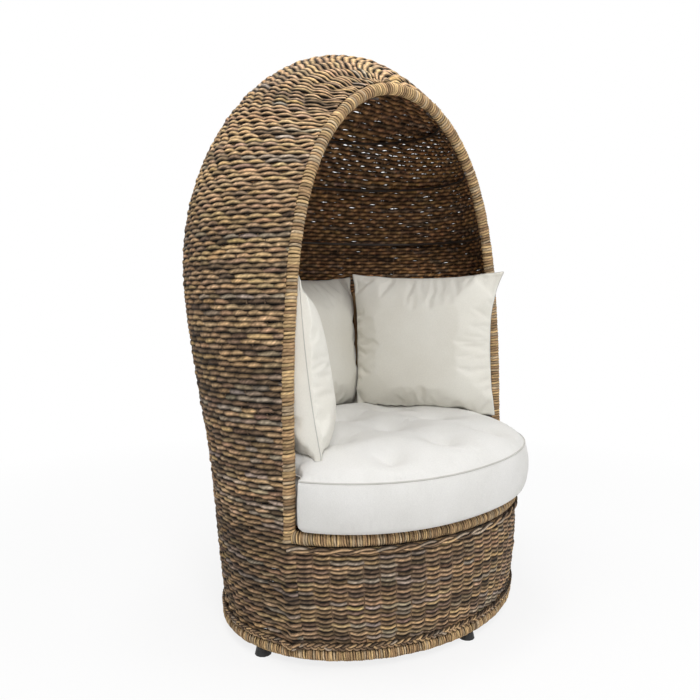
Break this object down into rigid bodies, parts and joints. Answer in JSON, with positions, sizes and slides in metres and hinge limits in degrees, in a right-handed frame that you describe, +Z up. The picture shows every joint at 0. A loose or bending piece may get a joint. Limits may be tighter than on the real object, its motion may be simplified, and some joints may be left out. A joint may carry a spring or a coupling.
{
  "type": "egg chair",
  "caption": "Hooded lounge chair: an egg-shaped woven shell with an arched opening, a round boxed seat cushion and loose knife-edged pillows.",
  "frame": {"origin": "on the floor, under the middle of the chair's overall box", "axes": "+Z up, the open front faces -Y, +X to the right of someone who looks along +Y at the chair"},
  "size_m": [1.07, 0.9182, 1.64],
  "materials": {
    "weave": "matt twisted plant fibre, mottled",
    "rope": "matt twisted rope, golden tan",
    "pole_wood": "bare satin cane pole",
    "slat_wood": "planed matt softwood",
    "dark_steel": "satin dark brown",
    "black_plastic": "matt moulded",
    "zinc_steel": "zinc plated",
    "seat_linen": "off-white plain weave",
    "pillow_linen": "cream plain weave"
  },
  "bodies": {
    "chair": {"base_ring_core": "pole_wood", "base_ring_binding": "rope", "front_arch_core": "pole_wood", "front_arch_binding": "rope", "seat_rim_core": "pole_wood", "seat_rim_binding": "rope", "seat_ring": "pole_wood", "seat_cross_rail": "pole_wood", "seat_leg_rear_right": "pole_wood", "seat_leg_rear_left": "pole_wood", "seat_leg_side_left": "pole_wood", "seat_leg_front_left": "pole_wood", "seat_leg_front_right": "pole_wood", "seat_leg_side_right": "pole_wood", "seat_slat_1": "slat_wood", "seat_slat_2": "slat_wood", "seat_slat_3": "slat_wood", "seat_slat_4": "slat_wood", "seat_slat_5": "slat_wood", "seat_slat_6": "slat_wood", "seat_slat_7": "slat_wood", "seat_slat_8": "slat_wood", "seat_slat_9": "slat_wood", "back_hoop_1": "dark_steel", "back_hoop_2": "dark_steel", "back_hoop_3": "dark_steel", "hood_hoop_1": "dark_steel", "hood_hoop_2": "dark_steel", "hood_hoop_3": "dark_steel", "back_upright_right": "pole_wood", "back_upright_centre": "pole_wood", "back_upright_left": "pole_wood", "woven_shell": "weave", "woven_front_panel": "weave", "seat_braid": "rope", "base_braid_front": "rope", "base_braid_rear": "rope", "glide_rear": "black_plastic", "glide_screw_rear": "zinc_steel", "glide_left": "black_plastic", "glide_screw_left": "zinc_steel", "glide_front": "black_plastic", "glide_screw_front": "zinc_steel", "glide_right": "black_plastic", "glide_screw_right": "zinc_steel", "seat_cushion": "seat_linen"},
    "pillow_left": {"pillow_left": "pillow_linen"},
    "pillow_back": {"pillow_back": "pillow_linen"},
    "pillow_right": {"pillow_right": "pillow_linen"}
  },
  "joints": [
    {"name": "pillow_left_lift", "type": "slide", "parent": "chair", "child": "pillow_left", "axis": [0.3006, -0.0601, 0.9519], "range_m": [0, 0.15]},
    {"name": "pillow_back_lift", "type": "slide", "parent": "chair", "child": "pillow_back", "axis": [0, -0.02, 0.9998], "range_m": [0, 0.15]},
    {"name": "pillow_right_lift", "type": "slide", "parent": "chair", "child": "pillow_right", "axis": [-0.3608, -0.1403, 0.922], "range_m": [0, 0.15]}
  ]
}
